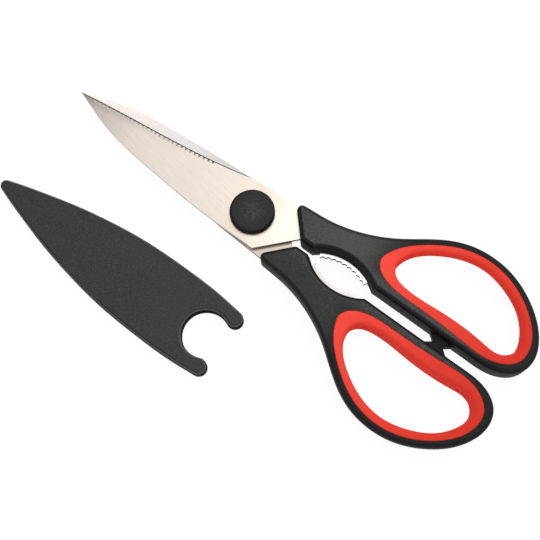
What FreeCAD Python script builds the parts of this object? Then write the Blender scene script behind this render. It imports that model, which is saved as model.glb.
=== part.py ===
import FreeCAD, Part
import math
import os

# Kitchen shears lying closed on a table, with the blade sheath taken off and laid beside them.
# All sizes are in millimetres. The pivot axis is the Z axis, the table is z = 0, the blades
# point along -X and the handles along +X. The front half has its handle on the +Y side, and the
# rear half is the same half turned over about the X axis.

# Blades
BLADE_REACH = 92.0        # pivot axis to the points
BLADE_BACK = 12.0         # pivot axis to the straight back of a blade
BLADE_THICK = 2.0
BLADE_GAP = 0.1           # running gap between the two blades
HEEL_X = 9.0              # where the back turns off towards the handle
ENTRY_OUTER_X = 12.7      # where the blade goes into the handle, outer side
ENTRY_OUTER_Y = 12.9
ENTRY_INNER_X = 22.4      # the same, inner side
ENTRY_INNER_Y = 2.6
EDGE_BEVEL = 0.9          # width of the ground cutting bevel
EDGE_LAND = 0.4           # thickness left at the cutting edge
SAW_PITCH = 2.13          # fine grooves ground across the front blade's bevel
SAW_RADIUS = 0.5
SAW_RUN = 0.95            # their length on the blade's face, inside the bevel
SAW_SLOPE = 38.0          # degrees that they fall towards the edge
SAW_START_SHARE = 0.93    # along the blade, from pivot to point
SAW_END_SHARE = 0.27
EDGE_SHARES = ((1.0, 0.0), (0.62, 0.385), (0.36, 0.645), (0.14, 0.97))
BACK_SHARES = ((0.1, 1.0), (0.5, 0.83), (0.8, 0.5), (1.0, 0.0))

# Tang inside the handle
TANG_BEND_X = 26.0        # where its outer side turns off
TANG_WIDTH = 5.5          # at its end
TANG_END_WALL = 4.65      # plastic between its end and the soft liner
TANG_WALL = 1.3           # plastic between the tang and the jaw
TANG_HOLE = 3.0
TANG_HOLE_SHARES = (0.22, 0.72)   # along the tang, from bend to end
TANG_KNEE_SHARE = 0.83    # of half the arch, from its middle to the tang's inner bend

# Handles
HANDLE_REACH = 124.2      # pivot axis to the far end
BOW_REACH = 42.4          # centre line to the outer side of the finger loop
HANDLE_THICK = 13.0       # beside the gap
RIM_THICK = 5.4           # at the outer side of the finger loop
FRONT_GAP = 1.5           # centre line to the inner wall, in front of the arch
REAR_GAP = 2.8            # the same, behind the arch
NECK_WALL = 1.2           # plastic outside the blade where it goes in
CORNER_ROUND = 2.1
EDGE_ROUND = 2.0
STOP_HEIGHT = 3.4
STOP_PLAY = 0.05          # each stop to the centre line
ROUND_LIMIT_SHARE = 0.45  # largest rounding of a wall
BOW_START_SHARE = 0.813   # along the handle, where the straight inner wall ends
OUTLINE_SHARES = ((0.924, 0.09), (0.986, 0.215), (1.0, 0.366), (0.967, 0.625), (0.886, 0.844),
                  (0.804, 0.96), (0.721, 1.0), (0.638, 0.972), (0.556, 0.866), (0.435, 0.611),
                  (0.314, 0.432), (0.193, 0.354))
STOP_SHARES = (0.686, 0.715, 0.752, 0.779)

# Nutcracker arch and its toothed jaw
ARCH_X = 44.3             # pivot axis to the middle of the arch
ARCH_HALF = 12.2          # half the length of the arch at the gap behind it
ARCH_RISE = 6.5           # centre line to the top of the arch
ARCH_DRAFT = 9.0          # degrees that its wall widens up and down from the middle
JAW_THICK = 1.8
JAW_PROUD = 1.75
JAW_ROOT = 2.4            # depth set into the handle
JAW_TEETH = 9
JAW_FRONT_SHARE = 1.0     # of half the arch, from its middle to the ends of the jaw
JAW_REAR_SHARE = 0.83
JAW_HOLLOW = 0.5          # depth of the hollows between its teeth
JAW_HOLLOW_SHARE = 0.5    # of the tooth pitch, radius of the hollows

# Soft liner of the finger loop and the rib that carries it
RIB_THICK = 3.0
RIB_COVER = 1.8           # liner over the rib's inner side
GRIP_ROUND = 2.3
GRIP_LIMIT_SHARE = 0.69   # largest rounding of the liner's thinnest wall
GRIP_EDGE = 0.35          # fine groove between liner and handle
LINER_SHARES = ((0.432, 0.377), (0.455, 0.519), (0.523, 0.719), (0.62, 0.887), (0.725, 0.939),
                (0.821, 0.877), (0.91, 0.712), (0.965, 0.49), (0.965, 0.283), (0.914, 0.156),
                (0.781, 0.13), (0.604, 0.151), (0.483, 0.189), (0.443, 0.264))
LOOP_SHARES = ((0.483, 0.413), (0.502, 0.552), (0.565, 0.715), (0.647, 0.826), (0.722, 0.856),
               (0.805, 0.804), (0.88, 0.686), (0.928, 0.512), (0.938, 0.354), (0.911, 0.255),
               (0.841, 0.243), (0.684, 0.257), (0.548, 0.248), (0.497, 0.304))

# Pivot
BOLT_DIAMETER = 5.0
BOLT_PLAY = 0.05          # radial play of the bolt in blades and washers
HEAD_DIAMETER = 10.0
HEAD_HEIGHT = 1.2
WASHER_DIAMETER = 12.0
WASHER_THICK = 0.5
AXIAL_PLAY = 0.08         # front blade to washer and cap
SPRING_DIAMETER = 11.0
SPRING_THICK = 0.4
SPRING_HEIGHT = 0.7
NUT_SIDES = 6
NUT_FLATS = 8.0
NUT_HEIGHT = 2.2
CAP_DIAMETER = 18.5
CAP_HEIGHT = 2.6
CAP_ROUND = 1.1
CAP_PLAY = 0.05           # cap to the head or nut that it is pushed on

# Sheath
SHEATH_TIP_ROOM = 11.3    # points of the blades to the end of the slot
SHEATH_SIDE_ROOM = 3.5    # backs of the blades to the sides of the slot
SHEATH_PLAY = 0.1         # both faces of the closed blades together
SHEATH_PLATE = 1.0
SHEATH_RIM = 1.5
SHEATH_TIP_WALL = 5.0
SHEATH_ROUND = 1.3
SHEATH_TIP_ROUND = 2.4
SHEATH_TIP_SLANT = 18.0   # degrees that the sides open from the tip
SHEATH_SEAM = 0.15        # bevel on each shell where the two meet
PRONG_REACH = 9.1         # centre of the notch to the ends of the prongs
PRONG_ROUND = 3.5
PRONG_SLANT = 5.0         # degrees that the sides close in at the prongs
NOTCH_PLAY = 0.35         # notch to the pivot cap
SHEATH_X = 15.1           # where the centre of the notch lies on the table
SHEATH_Y = 50.9
SHEATH_SIDE_SHARES = ((0.933, 0.24), (0.84, 0.41), (0.702, 0.637), (0.562, 0.81), (0.424, 0.93),
                      (0.19, 0.99), (0.053, 0.968))

# Worked out from the sizes above
OVERRUN = HANDLE_THICK
TOUCH_SHARE = 0.01
TOUCH = TOUCH_SHARE * BLADE_GAP
EDGE_TEST_SHARES = (0.1, 0.5, 0.9)
MID = HANDLE_THICK / 2
FRONT_BLADE_LOW = MID + BLADE_GAP / 2
FRONT_BLADE_TOP = FRONT_BLADE_LOW + BLADE_THICK
REAR_BLADE_LOW = MID - BLADE_GAP / 2 - BLADE_THICK
HANDLE_ROUND = min(EDGE_ROUND, ROUND_LIMIT_SHARE * RIM_THICK)
RIDGE = FRONT_GAP + HANDLE_ROUND
ARCH_RADIUS = (ARCH_HALF ** 2 + (ARCH_RISE - REAR_GAP) ** 2) / (2 * (ARCH_RISE - REAR_GAP))
ARCH_CENTRE = ARCH_RISE - ARCH_RADIUS
TANG_LOW = ARCH_RISE + JAW_ROOT + TANG_WALL
TANG_KNEE = ARCH_X - TANG_KNEE_SHARE * ARCH_HALF
TANG_REACH = LINER_SHARES[0][0] * HANDLE_REACH - TANG_END_WALL
NECK_OUTER = ENTRY_OUTER_Y + NECK_WALL
LINER_END_WALL = (max(x for x, y in LINER_SHARES) - max(x for x, y in LOOP_SHARES)) * HANDLE_REACH
LINER_SIDE_WALL = (max(y for x, y in LINER_SHARES) - max(y for x, y in LOOP_SHARES)) * BOW_REACH
BORE_RADIUS = BOLT_DIAMETER / 2 + BOLT_PLAY
WASHER_LOW = FRONT_BLADE_TOP + AXIAL_PLAY
HEAD_LOW = WASHER_LOW + WASHER_THICK
HEAD_TOP = HEAD_LOW + HEAD_HEIGHT
CAP_TOP = FRONT_BLADE_TOP + CAP_HEIGHT
NUT_TOP = REAR_BLADE_LOW - SPRING_HEIGHT
NUT_LOW = NUT_TOP - NUT_HEIGHT
NOTCH_RADIUS = CAP_DIAMETER / 2 + NOTCH_PLAY
SHEATH_REACH = BLADE_REACH + SHEATH_TIP_ROOM + SHEATH_TIP_WALL
SHEATH_HALF = BLADE_BACK + SHEATH_SIDE_ROOM + SHEATH_RIM
SHEATH_THICK = 2 * BLADE_THICK + BLADE_GAP + SHEATH_PLAY + 2 * SHEATH_PLATE


def at(x, y, z=0):
    return FreeCAD.Vector(x, y, z)


def turned_over(shape):
    """The same piece on the other half: turned over about the centre line of the shears."""
    return shape.rotated(at(0, 0, MID), at(1, 0, 0), 180)


def smooth(points, start=None, end=None):
    """Curve through the points, with given directions at its ends."""
    curve = Part.BSplineCurve()
    if start is None and end is None:
        curve.interpolate(Points=points)
    else:
        curve.interpolate(Points=points, InitialTangent=start, FinalTangent=end, Scale=False)
    return curve.toShape()


def smooth_ring(points):
    """Closed smooth curve through the points, in two halves."""
    curve = Part.BSplineCurve()
    curve.interpolate(Points=points, PeriodicFlag=True)
    first = curve.FirstParameter
    last = curve.LastParameter
    halves = [curve.copy(), curve.copy()]
    halves[0].segment(first, (first + last) / 2)
    halves[1].segment((first + last) / 2, last)
    return Part.Wire([half.toShape() for half in halves])


def straight(points):
    return [Part.LineSegment(a, b).toShape() for a, b in zip(points, points[1:])]


def rounded_path(points, radius):
    """Straight runs through the points, with each inner corner rounded."""
    edges = []
    last = points[0]
    for before, corner, after in zip(points, points[1:], points[2:]):
        back = (before - corner).normalize()
        ahead = (after - corner).normalize()
        half_turn = math.acos(back.dot(ahead)) / 2
        run = radius / math.tan(half_turn)
        middle = (back + ahead).normalize()
        centre = corner + middle * (radius / math.sin(half_turn))
        edges.append(Part.LineSegment(last, corner + back * run).toShape())
        last = corner + ahead * run
        edges.append(Part.Arc(corner + back * run, centre - middle * radius, last).toShape())
    edges.append(Part.LineSegment(last, points[-1]).toShape())
    return edges


def slab(edges, low, high):
    """Flat body with the given outline, between two heights."""
    face = Part.Face(Part.Wire(Part.__sortEdges__(edges)))
    return face.translated(at(0, 0, low)).extrude(at(0, 0, high - low))


def cylinder(radius, low, high, x=0, y=0):
    return Part.makeCylinder(radius, high - low, at(x, y, low))


def turned(profile):
    """Body of revolution about the pivot axis from (radius, height) points."""
    points = [at(radius, 0, height) for radius, height in profile]
    face = Part.Face(Part.makePolygon(points + points[:1]))
    return face.revolve(at(0, 0, 0), at(0, 0, 1), 360)


def edges_at(body, height):
    return [e for e in body.Edges
            if abs(e.BoundBox.ZMin - height) < TOUCH and e.BoundBox.ZLength < TOUCH]


def handle_points(shares):
    return [at(x * HANDLE_REACH, y * BOW_REACH) for x, y in shares]


def blade_points(shares, side):
    return [at(-x * BLADE_REACH, side * y * BLADE_BACK) for x, y in shares]


# Blades and tangs

def tang_outline():
    top = TANG_LOW + TANG_WIDTH
    return [at(ENTRY_OUTER_X, ENTRY_OUTER_Y), at(TANG_BEND_X, ENTRY_OUTER_Y), at(TANG_REACH, top),
            at(TANG_REACH, TANG_LOW), at(TANG_KNEE, TANG_LOW), at(ENTRY_INNER_X, ENTRY_INNER_Y)]


def tang_holes():
    holes = []
    for share in TANG_HOLE_SHARES:
        x = TANG_BEND_X + share * (TANG_REACH - TANG_BEND_X)
        upper = ENTRY_OUTER_Y + share * (TANG_LOW + TANG_WIDTH - ENTRY_OUTER_Y)
        fall = max(0, TANG_KNEE - x) / (TANG_KNEE - ENTRY_INNER_X)
        lower = TANG_LOW - fall * (TANG_LOW - ENTRY_INNER_Y)
        holes.append(cylinder(TANG_HOLE / 2, 0, HANDLE_THICK, x, (upper + lower) / 2))
    return holes


def cutting_edge():
    return smooth(blade_points(EDGE_SHARES, 1))


def saw_grooves():
    """Grooves at an even pitch along the cutting edge, which leave the edge itself whole."""
    edge = cutting_edge()
    slope = math.radians(SAW_SLOPE)
    start = EDGE_BEVEL + SAW_RUN
    grooves = []
    for point in edge.discretize(Distance=SAW_PITCH):
        if SAW_END_SHARE * BLADE_REACH < -point.x < SAW_START_SHARE * BLADE_REACH:
            tangent = edge.tangentAt(edge.Curve.parameter(point))
            outward = at(-tangent.y, tangent.x)
            along = outward * math.cos(slope) - at(0, 0, math.sin(slope))
            lift = outward * math.sin(slope) + at(0, 0, math.cos(slope))
            begin = point - outward * start + at(0, 0, FRONT_BLADE_TOP) + lift * SAW_RADIUS
            grooves.append(Part.makeCylinder(SAW_RADIUS, 2 * start / math.cos(slope), begin, along))
    return grooves


def blade(saw_toothed):
    edge = cutting_edge()
    tang = tang_outline()
    heel = at(HEEL_X, -BLADE_BACK)
    back = blade_points(BACK_SHARES, -1)
    outline = [edge, smooth(back, at(-1, 0), (back[-1] - back[-2]).normalize())]
    outline += straight([edge.Vertexes[-1].Point] + tang + [heel, back[0]])
    body = slab(outline, FRONT_BLADE_LOW, FRONT_BLADE_TOP)
    on_edge = [e for e in body.Edges
               if abs(e.BoundBox.ZMin - FRONT_BLADE_TOP) < TOUCH
               and e.BoundBox.YMin > -TOUCH and e.BoundBox.XMax < 0
               and e.BoundBox.XLength > BLADE_REACH / 2]
    body = body.makeChamfer(BLADE_THICK - EDGE_LAND, EDGE_BEVEL, on_edge)
    cuts = [cylinder(BORE_RADIUS, 0, HANDLE_THICK)] + tang_holes()
    if saw_toothed:
        cuts += saw_grooves()
    return body.cut(Part.makeCompound(cuts))


# Handles

def half_thick(y):
    """Half the handle's thickness at a distance from the centre line."""
    fall = (HANDLE_THICK - RIM_THICK) / 2 / (BOW_REACH - RIDGE)
    return MID - fall * (y - RIDGE)


def wedge():
    """Space between the sloping top and bottom, along the whole handle."""
    inner = -OVERRUN
    outer = BOW_REACH + OVERRUN
    corners = [at(0, inner, MID - half_thick(inner)), at(0, outer, MID - half_thick(outer)),
               at(0, outer, MID + half_thick(outer)), at(0, inner, MID + half_thick(inner))]
    face = Part.Face(Part.makePolygon(corners + corners[:1]))
    return face.extrude(at(HANDLE_REACH + OVERRUN, 0, 0))


def face_x(y):
    """Place along X of the handle's slanted front face."""
    run = (ENTRY_INNER_X - ENTRY_OUTER_X) / (ENTRY_OUTER_Y - ENTRY_INNER_Y)
    return ENTRY_OUTER_X + run * (ENTRY_OUTER_Y - y)


def handle_outline():
    start = at(BOW_START_SHARE * HANDLE_REACH, REAR_GAP)
    bow = [start] + handle_points(OUTLINE_SHARES)
    outer_corner = at(face_x(NECK_OUTER), NECK_OUTER)
    inner_corner = at(face_x(FRONT_GAP), FRONT_GAP)
    front_end = at(ARCH_X, FRONT_GAP)
    neck = rounded_path([bow[-1], outer_corner, inner_corner, front_end], CORNER_ROUND)
    step = straight([front_end, at(ARCH_X, REAR_GAP), start])
    arrive = (outer_corner - bow[-1]).normalize()
    return neck + step + [smooth(bow, at(1, 0), arrive)]


def edges_on_faces(body):
    """Edges that lie on the sloping top or bottom of a handle."""
    found = []
    for edge in body.Edges:
        first, last = edge.ParameterRange
        places = [edge.valueAt(first + share * (last - first)) for share in EDGE_TEST_SHARES]
        if all(abs(abs(p.z - MID) - half_thick(p.y)) < TOUCH for p in places):
            found.append(edge)
    return found


def stop():
    """Piece on the inner wall that meets the other handle's when the shears are closed."""
    base = REAR_GAP + HANDLE_ROUND
    x = [share * HANDLE_REACH for share in STOP_SHARES]
    outline = [at(x[0], base), at(x[0], REAR_GAP), at(x[1], STOP_PLAY), at(x[2], STOP_PLAY),
               at(x[3], REAR_GAP), at(x[3], base), at(x[0], base)]
    return slab(straight(outline), MID - STOP_HEIGHT / 2, MID + STOP_HEIGHT / 2)


def arch_cut():
    reach = MID + OVERRUN
    wide = ARCH_RADIUS + reach * math.tan(math.radians(ARCH_DRAFT))
    upper = Part.makeCone(ARCH_RADIUS, wide, reach, at(ARCH_X, ARCH_CENTRE, MID))
    lower = Part.makeCone(wide, ARCH_RADIUS, reach, at(ARCH_X, ARCH_CENTRE, MID - reach))
    return upper.fuse(lower)


def liner_space():
    return slab(smooth_ring(handle_points(LINER_SHARES)).Edges, 0, HANDLE_THICK)


def widened(points, amount):
    """Points of a ring, listed clockwise, moved outward."""
    moved = []
    for before, point, after in zip(points[-1:] + points[:-1], points, points[1:] + points[:1]):
        ahead = (after - before).normalize()
        moved.append(point + at(-ahead.y, ahead.x) * amount)
    return moved


def rib():
    loop = smooth_ring(widened(handle_points(LOOP_SHARES), RIB_COVER))
    low = MID - RIB_THICK / 2
    high = MID + RIB_THICK / 2
    outer = slab(smooth_ring(handle_points(LINER_SHARES)).Edges, low, high)
    return outer.cut(slab(loop.Edges, low, high))


def handle(tang_blade, jaw_strip):
    body = slab(handle_outline(), -OVERRUN, HANDLE_THICK + OVERRUN).common(wedge()).cut(arch_cut())
    body = body.makeFillet(HANDLE_ROUND, edges_on_faces(body))
    body = body.fuse(stop()).cut(liner_space()).fuse(rib())
    return body.cut([tang_blade, jaw_strip]).removeSplitter()


def grip():
    ring = liner_space().common(wedge())
    loop = slab(smooth_ring(handle_points(LOOP_SHARES)).Edges, 0, HANDLE_THICK)
    outer_edges = edges_on_faces(ring)
    ring = ring.makeChamfer(GRIP_EDGE, outer_edges).cut(loop)
    inner_edges = [e for e in edges_on_faces(ring) if e.BoundBox.XMin > loop.BoundBox.XMin - TOUCH]
    grip_round = min(GRIP_ROUND, GRIP_LIMIT_SHARE * min(LINER_END_WALL, LINER_SIDE_WALL))
    return ring.makeFillet(grip_round, inner_edges).cut(rib())


# Nutcracker jaw

def jaw_turn(share):
    """Angle from the middle of the arch to an end of the jaw."""
    return math.degrees(math.asin(share * ARCH_HALF / ARCH_RADIUS))


def jaw_blank():
    inner = ARCH_RADIUS - JAW_PROUD
    outer = ARCH_RADIUS + JAW_ROOT
    low = MID - JAW_THICK / 2
    high = MID + JAW_THICK / 2
    corners = [at(0, inner, low), at(0, outer, low), at(0, outer, high), at(0, inner, high)]
    face = Part.Face(Part.makePolygon(corners + corners[:1]))
    face = face.rotated(at(0, 0, 0), at(0, 0, 1), -jaw_turn(JAW_REAR_SHARE))
    span = jaw_turn(JAW_FRONT_SHARE) + jaw_turn(JAW_REAR_SHARE)
    strip = face.revolve(at(0, 0, 0), at(0, 0, 1), span)
    return strip.translated(at(ARCH_X, ARCH_CENTRE))


def jaw():
    inner = ARCH_RADIUS - JAW_PROUD
    step = (jaw_turn(JAW_FRONT_SHARE) + jaw_turn(JAW_REAR_SHARE)) / JAW_TEETH
    radius = max(JAW_HOLLOW, JAW_HOLLOW_SHARE * inner * math.radians(step))
    away = inner + JAW_HOLLOW - radius
    hollows = []
    for count in range(JAW_TEETH):
        turn = math.radians(jaw_turn(JAW_REAR_SHARE) - step * (count + 0.5))
        x = ARCH_X + away * math.sin(turn)
        y = ARCH_CENTRE + away * math.cos(turn)
        hollows.append(cylinder(radius, 0, HANDLE_THICK, x, y))
    return jaw_blank().cut(Part.makeCompound(hollows))


# Pivot

def pivot_bolt():
    shank = cylinder(BOLT_DIAMETER / 2, NUT_LOW, HEAD_LOW)
    head = cylinder(HEAD_DIAMETER / 2, HEAD_LOW, HEAD_TOP)
    return shank.fuse(head).removeSplitter()


def front_washer():
    return turned([(BORE_RADIUS, WASHER_LOW), (WASHER_DIAMETER / 2, WASHER_LOW),
                   (WASHER_DIAMETER / 2, HEAD_LOW), (BORE_RADIUS, HEAD_LOW)])


def spring_washer():
    """Dished disc: its rim presses on the blade, its bore on the nut."""
    rim = SPRING_DIAMETER / 2
    return turned([(BORE_RADIUS, NUT_TOP), (rim, REAR_BLADE_LOW - SPRING_THICK),
                   (rim, REAR_BLADE_LOW), (BORE_RADIUS, NUT_TOP + SPRING_THICK)])


def hexagon(flats, low, high):
    step = 2 * math.pi / NUT_SIDES
    radius = flats / 2 / math.cos(step / 2)
    corners = [at(radius * math.cos(step * n), radius * math.sin(step * n)) for n in range(NUT_SIDES)]
    return slab(straight(corners + corners[:1]), low, high)


def pivot_nut():
    return hexagon(NUT_FLATS, NUT_LOW, NUT_TOP).cut(cylinder(BORE_RADIUS, NUT_LOW, NUT_TOP))


def rounded_disc(low, high, round_height):
    """Cap blank, with the edge at one of its ends rounded."""
    disc = cylinder(CAP_DIAMETER / 2, low, high)
    return disc.makeFillet(CAP_ROUND, edges_at(disc, round_height))


def front_cap():
    disc = rounded_disc(WASHER_LOW, CAP_TOP, CAP_TOP)
    washer_room = cylinder(WASHER_DIAMETER / 2 + CAP_PLAY, WASHER_LOW, HEAD_LOW)
    head_room = cylinder(HEAD_DIAMETER / 2 + CAP_PLAY, HEAD_LOW, HEAD_TOP)
    return disc.cut([washer_room, head_room])


def rear_cap():
    disc = rounded_disc(0, REAR_BLADE_LOW, 0)
    spring_room = cylinder(SPRING_DIAMETER / 2 + CAP_PLAY, NUT_TOP, REAR_BLADE_LOW)
    nut_room = hexagon(NUT_FLATS + 2 * CAP_PLAY, NUT_LOW, NUT_TOP)
    return disc.cut([spring_room, nut_room])


# Sheath, about the centre of its notch

def tip_side(reach):
    """Where a long side leaves the round tip."""
    slant = math.radians(SHEATH_TIP_SLANT)
    return at(SHEATH_TIP_ROUND * (1 - math.sin(slant)) - reach, SHEATH_TIP_ROUND * math.cos(slant))


def sheath_tip(reach):
    start = tip_side(reach)
    return Part.Arc(at(start.x, -start.y), at(-reach, 0), start).toShape()


def sheath_side(reach, half, end):
    """One long side, from the tip to the prong."""
    points = [tip_side(reach)] + [at(-x * reach, y * half) for x, y in SHEATH_SIDE_SHARES] + [end]
    opens = math.radians(SHEATH_TIP_SLANT)
    closes = math.radians(PRONG_SLANT)
    return smooth(points, at(math.cos(opens), math.sin(opens)), at(math.cos(closes), -math.sin(closes)))


def mirrored(edge):
    return edge.mirror(at(0, 0, 0), at(0, 1, 0))


def prong_centre():
    """Centre of the prong's round end, which runs straight into the notch."""
    x = PRONG_REACH - PRONG_ROUND
    return at(x, math.sqrt((NOTCH_RADIUS + PRONG_ROUND) ** 2 - x ** 2))


def prong_side(inset):
    """Where the long side meets the prong's round end."""
    slant = math.radians(PRONG_SLANT)
    return prong_centre() + at(math.sin(slant), math.cos(slant)) * (PRONG_ROUND - inset)


def sheath_outline():
    """Round tip, long sides, round prong ends and the notch that they run into."""
    centre = prong_centre()
    neck = centre * (NOTCH_RADIUS / centre.Length)
    side = sheath_side(SHEATH_REACH, SHEATH_HALF, prong_side(0))
    prong = Part.Arc(prong_side(0), at(PRONG_REACH, centre.y), neck).toShape()
    notch = Part.Arc(neck, at(-NOTCH_RADIUS, 0), at(neck.x, -neck.y)).toShape()
    return [sheath_tip(SHEATH_REACH), side, prong, notch, mirrored(prong), mirrored(side)]


def sheath_slot():
    """Space for the closed blades, open at the prongs."""
    end = prong_side(SHEATH_RIM)
    reach = SHEATH_REACH - SHEATH_TIP_WALL
    side = sheath_side(reach, SHEATH_HALF - SHEATH_RIM, end)
    out = PRONG_REACH + OVERRUN
    mouth = straight([end, at(out, end.y), at(out, -end.y), at(end.x, -end.y)])
    return slab([sheath_tip(reach), side, mirrored(side)] + mouth, SHEATH_PLATE, SHEATH_THICK - SHEATH_PLATE)


def sheath_shell(low, high, outside):
    """Half of the sheath, with its outer edges rounded."""
    body = slab(sheath_outline(), low, high)
    body = body.makeFillet(SHEATH_ROUND, edges_at(body, outside))
    body = body.makeChamfer(SHEATH_SEAM, edges_at(body, SHEATH_THICK / 2)).cut(sheath_slot())
    return body.translated(at(SHEATH_X, -SHEATH_Y))


front_half = {"front_blade": blade(True), "upper_jaw": jaw(), "upper_grip": grip()}
front_half["upper_handle"] = handle(front_half["front_blade"], jaw_blank())

parts = dict(front_half)
parts["rear_blade"] = turned_over(blade(False))
parts["lower_jaw"] = turned_over(front_half["upper_jaw"])
parts["lower_grip"] = turned_over(front_half["upper_grip"])
parts["lower_handle"] = turned_over(front_half["upper_handle"])
parts["pivot_bolt"] = pivot_bolt()
parts["front_washer"] = front_washer()
parts["spring_washer"] = spring_washer()
parts["pivot_nut"] = pivot_nut()
parts["front_cap"] = front_cap()
parts["rear_cap"] = rear_cap()
parts["sheath_front_shell"] = sheath_shell(SHEATH_THICK / 2, SHEATH_THICK, SHEATH_THICK)
parts["sheath_back_shell"] = sheath_shell(0, SHEATH_THICK / 2, 0)

os.makedirs("parts", exist_ok=True)
for name, shape in parts.items():
    shape.exportStep(f"parts/{name}.step")
    print(name, len(shape.Solids), shape.isValid(), round(shape.Volume, 1))
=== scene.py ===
import math

import bpy
from mathutils import Matrix, Vector

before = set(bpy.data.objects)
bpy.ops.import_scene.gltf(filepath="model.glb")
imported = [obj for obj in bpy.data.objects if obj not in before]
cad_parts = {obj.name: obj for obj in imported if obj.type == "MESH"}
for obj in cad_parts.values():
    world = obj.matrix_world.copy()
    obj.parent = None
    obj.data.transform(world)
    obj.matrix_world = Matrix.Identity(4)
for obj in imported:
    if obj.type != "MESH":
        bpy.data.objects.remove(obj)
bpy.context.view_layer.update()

# Kitchen shears and their sheath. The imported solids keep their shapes, and get ground steel,
# grained black plastic and soft red rubber here. Everything is in metres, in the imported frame:
# the pivot axis is Z, the blades point along -X and the handles along +X.

MM = 0.001
scene = bpy.context.scene


# Node helpers

MIX_COLOURS = (6, 7)      # places of the Mix node's two colours among its inputs
MIX_RESULT = 2            # and of the mixed colour among its outputs


class Nodes:
    """Builds one node tree. Inputs take a plain value, or another node's output to link."""

    def __init__(self, tree):
        self.tree = tree

    def add(self, kind, inputs=(), **settings):
        node = self.tree.nodes.new("ShaderNode" + kind)
        for name, value in settings.items():
            setattr(node, name, value)
        for name, value in dict(inputs).items():
            self.put(node, name, value)
        return node

    def put(self, node, name, value):
        if isinstance(value, bpy.types.NodeSocket):
            self.tree.links.new(value, node.inputs[name])
        else:
            node.inputs[name].default_value = value

    def place(self):
        return self.add("TexCoord").outputs["Object"]

    def parts(self, vector):
        """The X, Y and Z of a vector."""
        return self.add("SeparateXYZ", {0: vector}).outputs[:3]

    def calc(self, operation, *values):
        return self.add("Math", dict(enumerate(values)), operation=operation).outputs[0]

    def times(self, first, second):
        return self.calc("MULTIPLY", first, second)

    def plus(self, first, second):
        return self.calc("ADD", first, second)

    def minus(self, first, second):
        return self.calc("SUBTRACT", first, second)

    def larger(self, first, second):
        return self.calc("MAXIMUM", first, second)

    def size(self, value):
        return self.calc("ABSOLUTE", value)

    def weigh(self, first, second, share):
        """A sum that takes a share of the first value and the rest from the second."""
        return self.plus(self.times(first, share), self.times(second, 1.0 - share))

    def length(self, x, y):
        flat = self.add("CombineXYZ", {0: x, 1: y}).outputs[0]
        return self.add("VectorMath", {0: flat}, operation="LENGTH").outputs["Value"]

    def facing(self, axis="Z"):
        """How far the surface faces along an axis, either way, from 0 to 1."""
        normal = self.add("TexCoord").outputs["Normal"]
        return self.size(self.add("SeparateXYZ", {0: normal}).outputs[axis])

    def stretch(self, vector, turn, scale):
        """Coordinates turned about Z by some degrees, then scaled per axis."""
        turned = self.add("Mapping", {"Vector": vector, "Rotation": (0, 0, math.radians(turn))})
        scaled = self.add("VectorMath", {0: turned.outputs[0], 1: scale}, operation="MULTIPLY")
        return scaled.outputs[0]

    def noise(self, vector, scale, layers=2.0, rough=0.5):
        node = self.add("TexNoise", {"Vector": vector, "Scale": scale, "Detail": layers,
                                     "Roughness": rough})
        return node.outputs["Fac"]

    def span(self, value, low, high, out_low=0.0, out_high=1.0, soft=False):
        """The value's way from low to high, held at both ends, as out_low to out_high."""
        node = self.add("MapRange", {"Value": value, "From Min": low, "From Max": high,
                                     "To Min": out_low, "To Max": out_high},
                        interpolation_type="SMOOTHSTEP" if soft else "LINEAR")
        return node.outputs["Result"]

    def between(self, share, none, full):
        """A value for each share from 0 to 1."""
        return self.span(share, 0.0, 1.0, none, full)

    def blend(self, factor, first, second, mode="MIX"):
        """Two colours mixed, each an RGB tuple or an output."""
        node = self.add("Mix", {0: factor}, data_type="RGBA", blend_type=mode)
        for socket, colour in zip(MIX_COLOURS, (first, second)):
            self.put(node, socket, (*colour, 1) if isinstance(colour, tuple) else colour)
        return node.outputs[MIX_RESULT]

    def shaded(self, colour, shade):
        """A colour times a brightness."""
        light = self.add("CombineColor", {0: shade, 1: shade, 2: shade}).outputs[0]
        return self.blend(1.0, colour, light, "MULTIPLY")

    def bump(self, height, distance):
        return self.add("Bump", {"Height": height, "Distance": distance}).outputs["Normal"]


def material(name, **plain):
    """A new material, its helper and its shader, with the plain values set on the shader."""
    made = bpy.data.materials.new(name)
    made.use_nodes = True
    shader = made.node_tree.nodes["Principled BSDF"]
    for socket, value in plain.items():
        shader.inputs[socket.replace("_", " ")].default_value = value
    return made, Nodes(made.node_tree), shader


def grey(value):
    return (value, value, value)


# In the looks below, a noise has its cells per metre, its layers and how strong the finer ones
# are. A range has the two ends of a value, and sometimes what comes of it at those ends. Facing
# is 0 on upright walls and 1 on level faces.

# Steel

STROKE_CELLS = (130.0, 1.0, 300.0)     # along, across (times the steel's own) and through
STROKE_LAYERS = 3.0
FINE_CELLS = (260.0, 3.1, 700.0)       # the finer strokes between them
FINE_LAYERS = 2.0
STROKE_ROUGH = 0.6                     # how strong the finer layers of both are
STROKE_SHARE = 0.65                    # of the grain, the rest is the finer strokes
STROKE_RANGE = (0.38, 0.62)            # of the grain, from dark strokes to plain steel
STROKE_GLOSS = (0.3, 0.7)              # of the grain, from glossy to dull
STROKE_DULL = 0.1                      # roughness that the dullest strokes add
STROKE_RELIEF = 0.006 * MM
STEEL_CLOUD = (42.0, 3.0, 0.55)
CLOUD_RANGE = (0.3, 0.75)

STEEL_FLAT = (0.9, 0.985)              # facing of the flat faces
STEEL_BEVEL = (0.1, 0.4)               # from upright sides to bevels
STEEL_SLOPE = (0.52, 0.62)             # from bevels to gentler slopes
SLOPE_DULL = 0.16                      # roughness that all but the flat faces add

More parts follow.
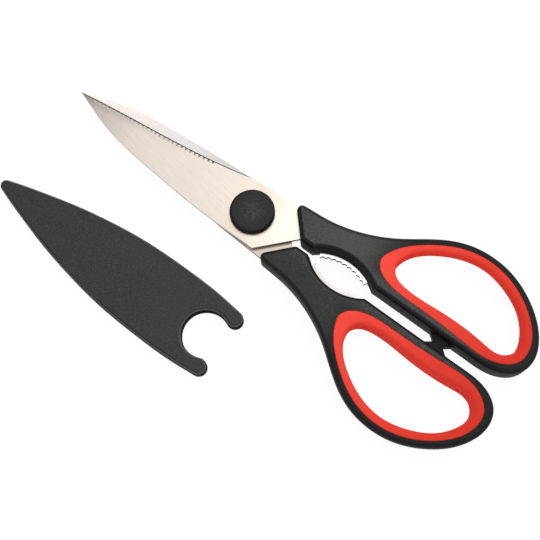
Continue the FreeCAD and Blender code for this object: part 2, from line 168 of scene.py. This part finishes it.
POINT_X = -92 * MM                     # points of the blades
EDGE_RISE = 0.13                       # of the front blade's cutting edge, from its point
SHADOW_INSIDE = (-1 * MM, 8 * MM)       # inside that edge, over which painted shadow of the front blade darkens the rear blade
SHADOW_X = (-4 * MM, -22 * MM)
EDGE_SHADE_INSIDE = (0.0, 5 * MM)            # painted shade beside the saw edge
EDGE_SHADE_X = (-70 * MM, -25 * MM, 1.0, 0.0)
EDGE_SHADE_DEPTH = 0.2
SAW_INSIDE = (0.6 * MM, 0.8 * MM)      # where the grooves reach past the bevel
SAW_X = (-80 * MM, -35 * MM)           # from the grooves near the point, with a painted highlight, to those further back, with painted shade
SAW_FLOOR = (0.95, 0.88)               # facing, from the flat face to the grooves' floors
SAW_WALL = (0.3, 0.45)                 # facing of the grooves' sides, along X
SAW_METAL = 0.3                        # how metallic the grooves look


def inside_edge(n, x, y):
    """How far a place lies inside the front blade's cutting edge, taken as straight."""
    return n.minus(n.times(n.minus(x, POINT_X), EDGE_RISE), y)


def strokes(n, place, turn, across, cells, layers):
    """Noise drawn out along a direction that lies turn degrees clockwise from X."""
    along, times, through = cells
    stretched = n.stretch(place, turn, (along, times * across, through))
    return n.noise(stretched, 1.0, layers, STROKE_ROUGH)


def brushed_steel(name, turn, tones, bevel, side, depth=0.16, across=2000.0, tint=0.6,
                  rough=0.27, saw=None, front_blade_shadow=0.0):
    """Ground steel: fine strokes in one direction, with bevels and sides of other colours, painted
    shade on the bevels and painted light and shade on the sides.

    tones lists places along X, in millimetres, with the face's colour there, which on the blades
    also paints light and shade along them. depth says how dark the strokes are, and across how
    close they lie. saw has the colours in the grooves of a saw edge, a painted highlight near the
    point and painted shade further back, and painted shade darkens the steel beside that edge near
    the point. front_blade_shadow says how much painted shadow darkens the face where the closed
    front blade covers it."""
    made, n, shader = material(name, Metallic=1.0, Specular_Tint=(*grey(tint), 1))
    place = n.place()
    x, y, _ = n.parts(place)
    facing = n.facing()
    flat = n.span(facing, *STEEL_FLAT, soft=True)
    slope = n.span(facing, *STEEL_SLOPE)
    grain = n.weigh(strokes(n, place, turn, across, STROKE_CELLS, STROKE_LAYERS),
                    strokes(n, place, turn, across, FINE_CELLS, FINE_LAYERS), STROKE_SHARE)
    cloud = n.noise(place, *STEEL_CLOUD)
    tone = tones[0][1]
    for (start, _), (end, colour) in zip(tones, tones[1:]):
        tone = n.blend(n.span(x, start * MM, end * MM), tone, colour)
    shade = n.times(n.span(grain, *STROKE_RANGE, 1.0 - depth, 1.0),
                    n.span(cloud, *CLOUD_RANGE, 1.0, 1.0 - depth / 2))
    # painted shadow of the closed front blade on the rear blade
    if front_blade_shadow:
        dark = n.span(inside_edge(n, x, y), *SHADOW_INSIDE, 0.0, front_blade_shadow, soft=True)
        shade = n.times(shade, n.minus(1.0, n.times(dark, n.span(x, *SHADOW_X))))
    if saw:
        inside = inside_edge(n, x, y)
        # painted shade beside the saw edge, deepest near the point
        dark = n.span(inside, *EDGE_SHADE_INSIDE, EDGE_SHADE_DEPTH, 0.0, soft=True)
        shade = n.times(shade, n.minus(1.0, n.times(dark, n.span(x, *EDGE_SHADE_X))))
    tone = n.shaded(tone, shade)
    # bevels take painted shade, sides a painted tone of light or shade
    edge = n.blend(n.span(facing, *STEEL_BEVEL), side, bevel)
    edge = n.blend(slope, edge, tone)
    if saw:
        floor = n.times(slope, n.span(facing, *SAW_FLOOR))
        groove = n.larger(floor, n.span(n.facing("X"), *SAW_WALL))
        groove = n.times(groove, n.span(inside, *SAW_INSIDE))
        edge = n.blend(floor, edge, bevel)
        # groove colours: painted highlight near the point, painted shade further back
        edge = n.blend(groove, edge, n.blend(n.span(x, *SAW_X), *saw))
        n.put(shader, "Metallic", n.larger(n.between(groove, 1.0, SAW_METAL), flat))
    n.put(shader, "Base Color", n.blend(flat, edge, tone))
    n.put(shader, "Roughness", n.plus(n.span(grain, *STROKE_GLOSS, rough, rough + STROKE_DULL),
                                      n.between(flat, SLOPE_DULL, 0.0)))
    n.put(shader, "Normal", n.bump(grain, STROKE_RELIEF))
    return made


RING_CELLS = 5200.0       # of the turned fasteners, outwards from the pivot axis
RING_STEPS = 900.0        # and along it
RING_GLOSS = (0.3, 0.7, 0.24, 0.4)
RING_RELIEF = 0.008 * MM
RING_DARK, RING_LIGHT = grey(0.42), (0.58, 0.575, 0.56)
STAIN = (300.0, 3.0)
STAIN_RANGE = (0.4, 0.8, 0.0, 0.3)
STAIN_TONE = (0.36, 0.355, 0.34)


def turned_steel():
    """Machined fasteners: fine rings about the pivot axis."""
    made, n, shader = material("turned_steel", Metallic=1.0)
    place = n.place()
    x, y, z = n.parts(place)
    turned = {0: n.times(n.length(x, y), RING_CELLS), 1: n.times(z, RING_STEPS)}
    rings = n.noise(n.add("CombineXYZ", turned).outputs[0], 1.0)
    stain = n.span(n.noise(place, *STAIN), *STAIN_RANGE)
    tone = n.blend(rings, RING_DARK, RING_LIGHT)
    n.put(shader, "Base Color", n.blend(stain, tone, STAIN_TONE))
    n.put(shader, "Roughness", n.span(rings, *RING_GLOSS))
    n.put(shader, "Normal", n.bump(rings, RING_RELIEF))
    return made


# Black plastic

SPECK_CELLS = 3.3                      # specks to a cell of the grain
GRAIN_LAYERS = (2.0, 0.6)
SPECK_LAYERS = (1.0, 0.5)
PLASTIC_CLOUD = (38.0, 3.0, 0.5)
GRAIN_LIGHT = (0.41, 0.6)              # from the grain's low tone to its high one
SPECK_LIGHT = (0.55, 0.8, 0.0, 0.35)   # how far specks and clouds lighten it
CLOUD_LIGHT = (0.35, 0.8, 0.0, 0.2)
GRAIN_SHARE = 0.7                      # of the relief, the rest is the specks
GRAIN_LEVEL = 0.5                      # middle height of the grain
WALL_RELIEF = 0.12                     # of the faces' relief
GRAIN_GLOSS = (0.3, 0.7)
GRAIN_DULL = 0.06                      # roughness that the grain takes off or adds
PLASTIC_FLAT = (0.96, 0.998)           # facing of the flat faces
PLASTIC_WALL = (0.2, 0.7)              # from dull walls to faces
LIP_LOW = (0.45, 0.6)                  # facing of the lip, from its wall side and face side
LIP_HIGH = (0.95, 0.88)
LIP_HIGHLIGHT_CLOUD = (0.3, 0.7, 0.8, 1.0)        # how far the lip's painted highlight shows, by cloud
MIDDLE_SHEEN_SHARES = (0.05, 0.9)              # of the middle sheen's reach, over which the painted sheen fades outwards
MIDDLE_SHEEN_FADE = 0.9

HANDLE_MID = 6.5 * MM                  # height of the handles' mid-plane
SHEEN_PATCH_X, SHEEN_PATCH_Y = 40 * MM, 13 * MM    # middle of the patch of painted sheen
SHEEN_PATCH_REACH = (4 * MM, 20 * MM)
SHEEN_PATCH_LIGHT = 0.45
NECK_X = (62 * MM, 42 * MM)            # the lower neck, darkened by painted shade, forwards and outwards
NECK_Y = (-3 * MM, -8 * MM)
NECK_SHADE = 0.5
RIM_FRONT_X = (44 * MM, 62 * MM)       # where the rim round the loop begins; its dark is painted shade
RIM_END_X = (98 * MM, 112 * MM)        # and where it takes up the whole width
RIM_SIDE_Y = (6.5 * MM, 10 * MM)       # from the inner bar, which is grained, to the outer rim
RIM_SHADE = 0.85
RIM_RELIEF = 0.5                       # of the other faces' relief
RIM_DULL = 0.3
STOP_OFF = (2.2 * MM, 1.9 * MM)        # from the mid-plane, the faces of the stops
LINE_OFF = (0.1 * MM, 0.28 * MM, 1.0, 0.0)   # from the mid-plane, the mould line, with a painted highlight on its ridge
LINE_FACING = (0.1, 0.3, 1.0, 0.0)
LINE_HIGHLIGHT = 0.6


def handle_marks(n, x, y, z, facing):
    """Masks of a handle: a patch of painted sheen, painted shade at the neck, the smooth rim,
    darkened by painted shade, with the darker stops, and the mould line.
    """
    off = n.size(n.minus(z, HANDLE_MID))
    away = n.length(n.minus(x, SHEEN_PATCH_X), n.minus(y, SHEEN_PATCH_Y))
    sheen_patch = n.span(away, *SHEEN_PATCH_REACH, SHEEN_PATCH_LIGHT, 0.0, soft=True)
    neck = n.times(n.span(y, *NECK_Y), n.span(x, *NECK_X))
    outer = n.larger(n.span(n.size(y), *RIM_SIDE_Y), n.span(x, *RIM_END_X))
    rim = n.times(outer, n.span(x, *RIM_FRONT_X, soft=True))
    smooth_dark = n.larger(rim, n.span(off, *STOP_OFF))
    line = n.times(n.span(off, *LINE_OFF), n.span(facing, *LINE_FACING))
    return sheen_patch, neck, smooth_dark, line


def black_plastic(name, index, low, high, wall, cell, depth, rough, matte=0.3, lip=None,
                  middle_sheen=0.0, handle=False):
    """Moulded plastic: spark-grained faces with plain walls, darkened by painted shade.

    index is the plastic's refraction, low and high are the grain's two tones, cell and depth are
    its size and relief in millimetres, and matte says how much duller the walls are. lip is the
    colour of a painted highlight on the lip between faces and walls, and middle_sheen says how far
    a painted sheen in the middle reaches. A handle has a mould line round its walls, with a
    painted highlight on its ridge, a smoother rim round the loop, darkened by painted shade, and
    black stops. The upper one has a patch of painted sheen, and the lower one painted shade at
    its neck."""
    made, n, shader = material(name, IOR=index)
    place = n.place()
    x, y, z = n.parts(place)
    grain = n.noise(place, 1.0 / (cell * MM), *GRAIN_LAYERS)
    speck = n.noise(place, SPECK_CELLS / (cell * MM), *SPECK_LAYERS)
    cloud = n.noise(place, *PLASTIC_CLOUD)
    facing = n.facing()
    flat = n.span(facing, *PLASTIC_FLAT, soft=True)
    tone = n.blend(n.span(grain, *GRAIN_LIGHT), low, high)
    tone = n.blend(n.span(speck, *SPECK_LIGHT), tone, high)
    tone = n.blend(n.span(cloud, *CLOUD_LIGHT), tone, high)
    # walls take the wall colour, painted shade
    edge = wall
    height = n.minus(n.weigh(grain, speck, GRAIN_SHARE), GRAIN_LEVEL)
    height = n.times(height, n.between(flat, WALL_RELIEF, 1.0))
    dull = n.span(facing, *PLASTIC_WALL, matte, 0.0)
    if lip:
        # painted highlight on the rounded lip
        highlit = n.times(n.span(facing, *LIP_LOW, soft=True), n.span(facing, *LIP_HIGH, soft=True))
        edge = n.blend(n.times(highlit, n.span(cloud, *LIP_HIGHLIGHT_CLOUD)), wall, lip)
    if middle_sheen:
        # painted sheen: the middle lighter, fading outwards to the wall's dark
        start, end = (share * middle_sheen for share in MIDDLE_SHEEN_SHARES)
        outer = n.span(n.length(x, y), start, end, 0.0, MIDDLE_SHEEN_FADE, soft=True)
        tone = n.blend(outer, tone, wall)
    if handle:
        sheen_patch, neck, smooth_dark, line = handle_marks(n, x, y, z, facing)
        # painted sheen patch on the upper handle
        tone = n.blend(sheen_patch, tone, high)
        # painted shade at the lower neck
        tone = n.blend(n.times(neck, NECK_SHADE), tone, low)
        # painted shade on the smoother outer rim, and the stops darker
        tone = n.blend(n.times(smooth_dark, RIM_SHADE), tone, wall)
        # painted highlight along the mould line; its ridge is relief
        edge = n.blend(n.times(line, LINE_HIGHLIGHT), edge, high)
        height = n.plus(n.times(height, n.between(smooth_dark, 1.0, RIM_RELIEF)), line)
        dull = n.larger(dull, n.times(smooth_dark, RIM_DULL))
    n.put(shader, "Base Color", n.blend(flat, edge, tone))
    gloss = n.span(grain, *GRAIN_GLOSS, rough - GRAIN_DULL, rough + GRAIN_DULL)
    n.put(shader, "Roughness", n.plus(gloss, dull))
    n.put(shader, "Normal", n.bump(height, depth * MM))
    return made


# Red rubber

SKIN = (1900.0, 2.0, 0.55)
SKIN_LIGHT = (0.4, 0.7, 0.0, 0.2)
SKIN_GLOSS = (0.3, 0.7, 0.7, 0.86)
SKIN_RELIEF = 0.012 * MM
RUBBER_CLOUD = (55.0, 3.0, 0.55)
RUBBER_LIGHT = (0.3, 0.75)
RUBBER_GLOSS = (0.3, 0.7, 0.8, 1.2)
RUBBER_FLAT = (0.2, 0.95)              # facing, from the walls to the level faces
# painted shade towards the far end of the loop
FAR_SHADE_X = (55 * MM, 118 * MM, 0.0, 0.9)
RED_LOW, RED_HIGH = (0.885, 0.062, 0.041), (0.93, 0.078, 0.056)
RED_SKIN = (0.95, 0.105, 0.08)
RED_FAR_SHADE = (0.63, 0.037, 0.021)
# walls a little darker, painted shade
RED_WALL_SHADE = (0.86, 0.056, 0.037)


def red_rubber():
    """Soft liner: matte red with a fine satin skin, darkened by painted shade towards the far end
    of the loop and a little on its walls.
    """
    made, n, shader = material("soft_red_rubber", IOR=1.4, Specular_IOR_Level=0.08)
    place = n.place()
    x, _, _ = n.parts(place)
    skin = n.noise(place, *SKIN)
    cloud = n.noise(place, *RUBBER_CLOUD)
    flat = n.span(n.facing(), *RUBBER_FLAT, soft=True)
    tone = n.blend(n.span(cloud, *RUBBER_LIGHT), RED_LOW, RED_HIGH)
    tone = n.blend(n.span(skin, *SKIN_LIGHT), tone, RED_SKIN)
    tone = n.blend(n.span(x, *FAR_SHADE_X), tone, RED_FAR_SHADE)
    n.put(shader, "Base Color", n.blend(flat, RED_WALL_SHADE, tone))
    satin = n.times(skin, n.span(cloud, *RUBBER_GLOSS))
    n.put(shader, "Roughness", n.span(satin, *SKIN_GLOSS))
    n.put(shader, "Normal", n.bump(skin, SKIN_RELIEF))
    return made


# The pieces and their finish

# Dark bevels of the blades and sides of the jaws are painted shade.
BEVEL_SHADE = (0.09, 0.08, 0.07)
JAW_SIDE_SHADE = (0.05, 0.045, 0.04)
# Near-black: the caps' darkest grain, and painted shade on plastic walls.
BLACK = grey(0.002)

# Front blade: its tones paint shade darkening towards the point and light by the pivot, and its
# light sides are painted light.
front_steel = brushed_steel(
    "front_blade_steel", turn=11.0,
    tones=[(-92, (0.27, 0.245, 0.225)), (-82, (0.43, 0.385, 0.345)), (-60, (0.59, 0.52, 0.47)),
           (-30, (0.545, 0.49, 0.445)), (-2, (0.575, 0.495, 0.43)), (14, (0.67, 0.615, 0.535))],
    bevel=BEVEL_SHADE, side=(0.72, 0.70, 0.67), saw=((0.66, 0.64, 0.61), (0.30, 0.28, 0.26)))
# Rear blade: its tones paint light towards the point and shade towards the shank, and its dark
# sides are painted shade.
rear_steel = brushed_steel(
    "rear_blade_steel", turn=-80.0,
    tones=[(-88, (0.75, 0.69, 0.625)), (-50, (0.55, 0.522, 0.515)), (-20, (0.39, 0.383, 0.38)),
           (2, (0.445, 0.385, 0.325))],
    bevel=BEVEL_SHADE, side=(0.28, 0.26, 0.23), depth=0.08, across=2600.0, front_blade_shadow=0.45)
# The jaws take a lighter and a darker copy of one steel: painted light on the upper, painted shade
# on the lower.
upper_jaw_lit_steel = brushed_steel(
    "upper_jaw_lit_steel", turn=35.0, tones=[(30, (0.66, 0.65, 0.63)), (55, (0.64, 0.63, 0.61))],
    bevel=JAW_SIDE_SHADE, side=JAW_SIDE_SHADE, tint=0.25, rough=0.12)
lower_jaw_shaded_steel = brushed_steel(
    "lower_jaw_shaded_steel", turn=35.0, tones=[(30, (0.56, 0.53, 0.50)), (55, (0.54, 0.51, 0.48))],
    bevel=JAW_SIDE_SHADE, side=JAW_SIDE_SHADE, tint=0.25)
handle_black = black_plastic(
    "handle_plastic", index=1.38, low=grey(0.001), high=(0.05, 0.0485, 0.046), wall=BLACK,
    cell=0.45, depth=0.025, rough=0.42, handle=True)
cap_black = black_plastic(
    "cap_plastic", index=1.33, low=BLACK, high=(0.043, 0.043, 0.042), wall=BLACK,
    cell=0.6, depth=0.012, rough=0.42, middle_sheen=9.0 * MM)
sheath_black = black_plastic(
    "sheath_plastic", index=1.43, low=(0.002, 0.002, 0.0018), high=(0.027, 0.027, 0.025),
    wall=grey(0.001), cell=0.45, depth=0.025, rough=0.5, matte=0.5, lip=(0.07, 0.07, 0.068))
red = red_rubber()
fastener = turned_steel()

FINISH = {
    "front_blade": front_steel, "rear_blade": rear_steel,
    "upper_jaw": upper_jaw_lit_steel, "lower_jaw": lower_jaw_shaded_steel,
    "upper_handle": handle_black, "lower_handle": handle_black,
    "upper_grip": red, "lower_grip": red,
    "front_cap": cap_black, "rear_cap": cap_black,
    "sheath_front_shell": sheath_black, "sheath_back_shell": sheath_black,
    "pivot_bolt": fastener, "front_washer": fastener,
    "spring_washer": fastener, "pivot_nut": fastener,
}
for name, finish in FINISH.items():
    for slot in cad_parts[name].material_slots:
        slot.material = finish


# Floor, light and camera

FLOOR_HALF = 20.0
FLOOR_DROP = 0.1 * MM
FLOOR_BOUNCE = 0.92       # how pale the floor is in the light that it gives back
FLOOR_PAPER = 0.08        # the part of it that takes shadows, as seen
FLOOR_GLOW = 0.94         # and the white that it has without them
SKY_HIGH = 1.06           # light from overhead
SKY_RING = 0.42           # darker part of the room between the lamps and the table
SKY_FRONT = 1.0           # light from the near side of the room
SKY_EDGE = 0.97           # the white horizon
SKY_FRONT_FAR = (-0.8, 0.2)     # of the room, from its near side to its far side
SKY_EDGE_RISE = (0.0, 0.12)     # heights in the sky, from the horizon (0) to overhead (1)
SKY_RING_RISE = (0.15, 0.4)
SKY_HIGH_RISE = (0.62, 0.86)
BOX_PLACE = (0.04, 0.75, 1.0)   # soft box above the table
BOX_SIDE = 1.4
BOX_GLOW = 1.35           # brightness of the soft box


def pale_floor():
    mesh = bpy.data.meshes.new("floor")
    h = FLOOR_HALF
    mesh.from_pydata([(-h, -h, 0), (h, -h, 0), (h, h, 0), (-h, h, 0)], [], [(0, 1, 2, 3)])
    floor = bpy.data.objects.new("floor", mesh)
    floor.location.z = -FLOOR_DROP
    scene.collection.objects.link(floor)
    made = bpy.data.materials.new("floor_white")
    made.use_nodes = True
    n = Nodes(made.node_tree)
    path = n.add("LightPath").outputs
    shown = n.larger(path["Is Camera Ray"], path["Is Glossy Ray"])
    shown = n.larger(shown, path["Is Transmission Ray"])
    bounce = n.add("BsdfDiffuse", {"Color": (*grey(FLOOR_BOUNCE), 1)})
    paper = n.add("BsdfDiffuse", {"Color": (*grey(FLOOR_PAPER), 1)})
    glow = n.add("Emission", {"Color": (1, 1, 1, 1), "Strength": FLOOR_GLOW})
    white = n.add("AddShader", {0: paper.outputs[0], 1: glow.outputs[0]})
    mixed = n.add("MixShader", {0: shown, 1: bounce.outputs[0], 2: white.outputs[0]})
    n.put(made.node_tree.nodes["Material Output"], "Surface", mixed.outputs[0])
    mesh.materials.append(made)


def studio_light():
    world = bpy.data.worlds.new("studio")
    scene.world = world
    world.use_nodes = True
    n = Nodes(world.node_tree)
    _, far, rise = n.parts(n.add("TexCoord").outputs["Generated"])
    low = n.span(far, *SKY_FRONT_FAR, SKY_FRONT, SKY_RING, soft=True)
    low = n.span(rise, *SKY_EDGE_RISE, SKY_EDGE, low, soft=True)
    ring = n.span(rise, *SKY_RING_RISE, low, SKY_RING, soft=True)
    sky = world.node_tree.nodes["Background"]
    n.put(sky, "Color", (1, 1, 1, 1))
    n.put(sky, "Strength", n.span(rise, *SKY_HIGH_RISE, ring, SKY_HIGH, soft=True))
    lamp = bpy.data.lights.new("soft_box", "AREA")
    lamp.shape = "SQUARE"
    lamp.size = BOX_SIDE
    lamp.energy = BOX_GLOW * math.pi * BOX_SIDE ** 2
    holder = bpy.data.objects.new("soft_box", lamp)
    holder.location = BOX_PLACE
    holder.rotation_euler = Vector(BOX_PLACE).to_track_quat("Z", "Y").to_euler()
    holder.visible_camera = False
    scene.collection.objects.link(holder)


CAMERA_AZIMUTH = 43.78
CAMERA_ELEVATION = 74.515
CAMERA_ROLL = -6.929
CAMERA_FOCUS = 965.692    # focal length in pixels of the frame
CAMERA_AWAY = 388.29 * MM
CAMERA_TARGET = (19.996 * MM, -14.671 * MM, 6.5 * MM)
CAMERA_NEAR, CAMERA_FAR = 0.01, 100.0
FRAME_PIXELS = 540
SENSOR = 36.0


def camera():
    a, e, r = (math.radians(v) for v in (CAMERA_AZIMUTH, CAMERA_ELEVATION, CAMERA_ROLL))
    ahead = Vector((-math.sin(a) * math.cos(e), math.cos(a) * math.cos(e), -math.sin(e)))
    right = Vector((math.cos(a), math.sin(a), 0))
    up = right.cross(ahead)
    right, up = math.cos(r) * right + math.sin(r) * up, -math.sin(r) * right + math.cos(r) * up
    place = Vector(CAMERA_TARGET) - ahead * CAMERA_AWAY
    lens = bpy.data.cameras.new("camera")
    lens.sensor_width = SENSOR
    lens.lens = CAMERA_FOCUS * SENSOR / FRAME_PIXELS
    lens.clip_start = CAMERA_NEAR
    lens.clip_end = CAMERA_FAR
    holder = bpy.data.objects.new("camera", lens)
    axes = Matrix((right, up, -ahead)).transposed().to_4x4()
    holder.matrix_world = Matrix.Translation(place) @ axes
    scene.collection.objects.link(holder)
    scene.camera = holder


pale_floor()
studio_light()
camera()
scene.view_settings.view_transform = "Standard"
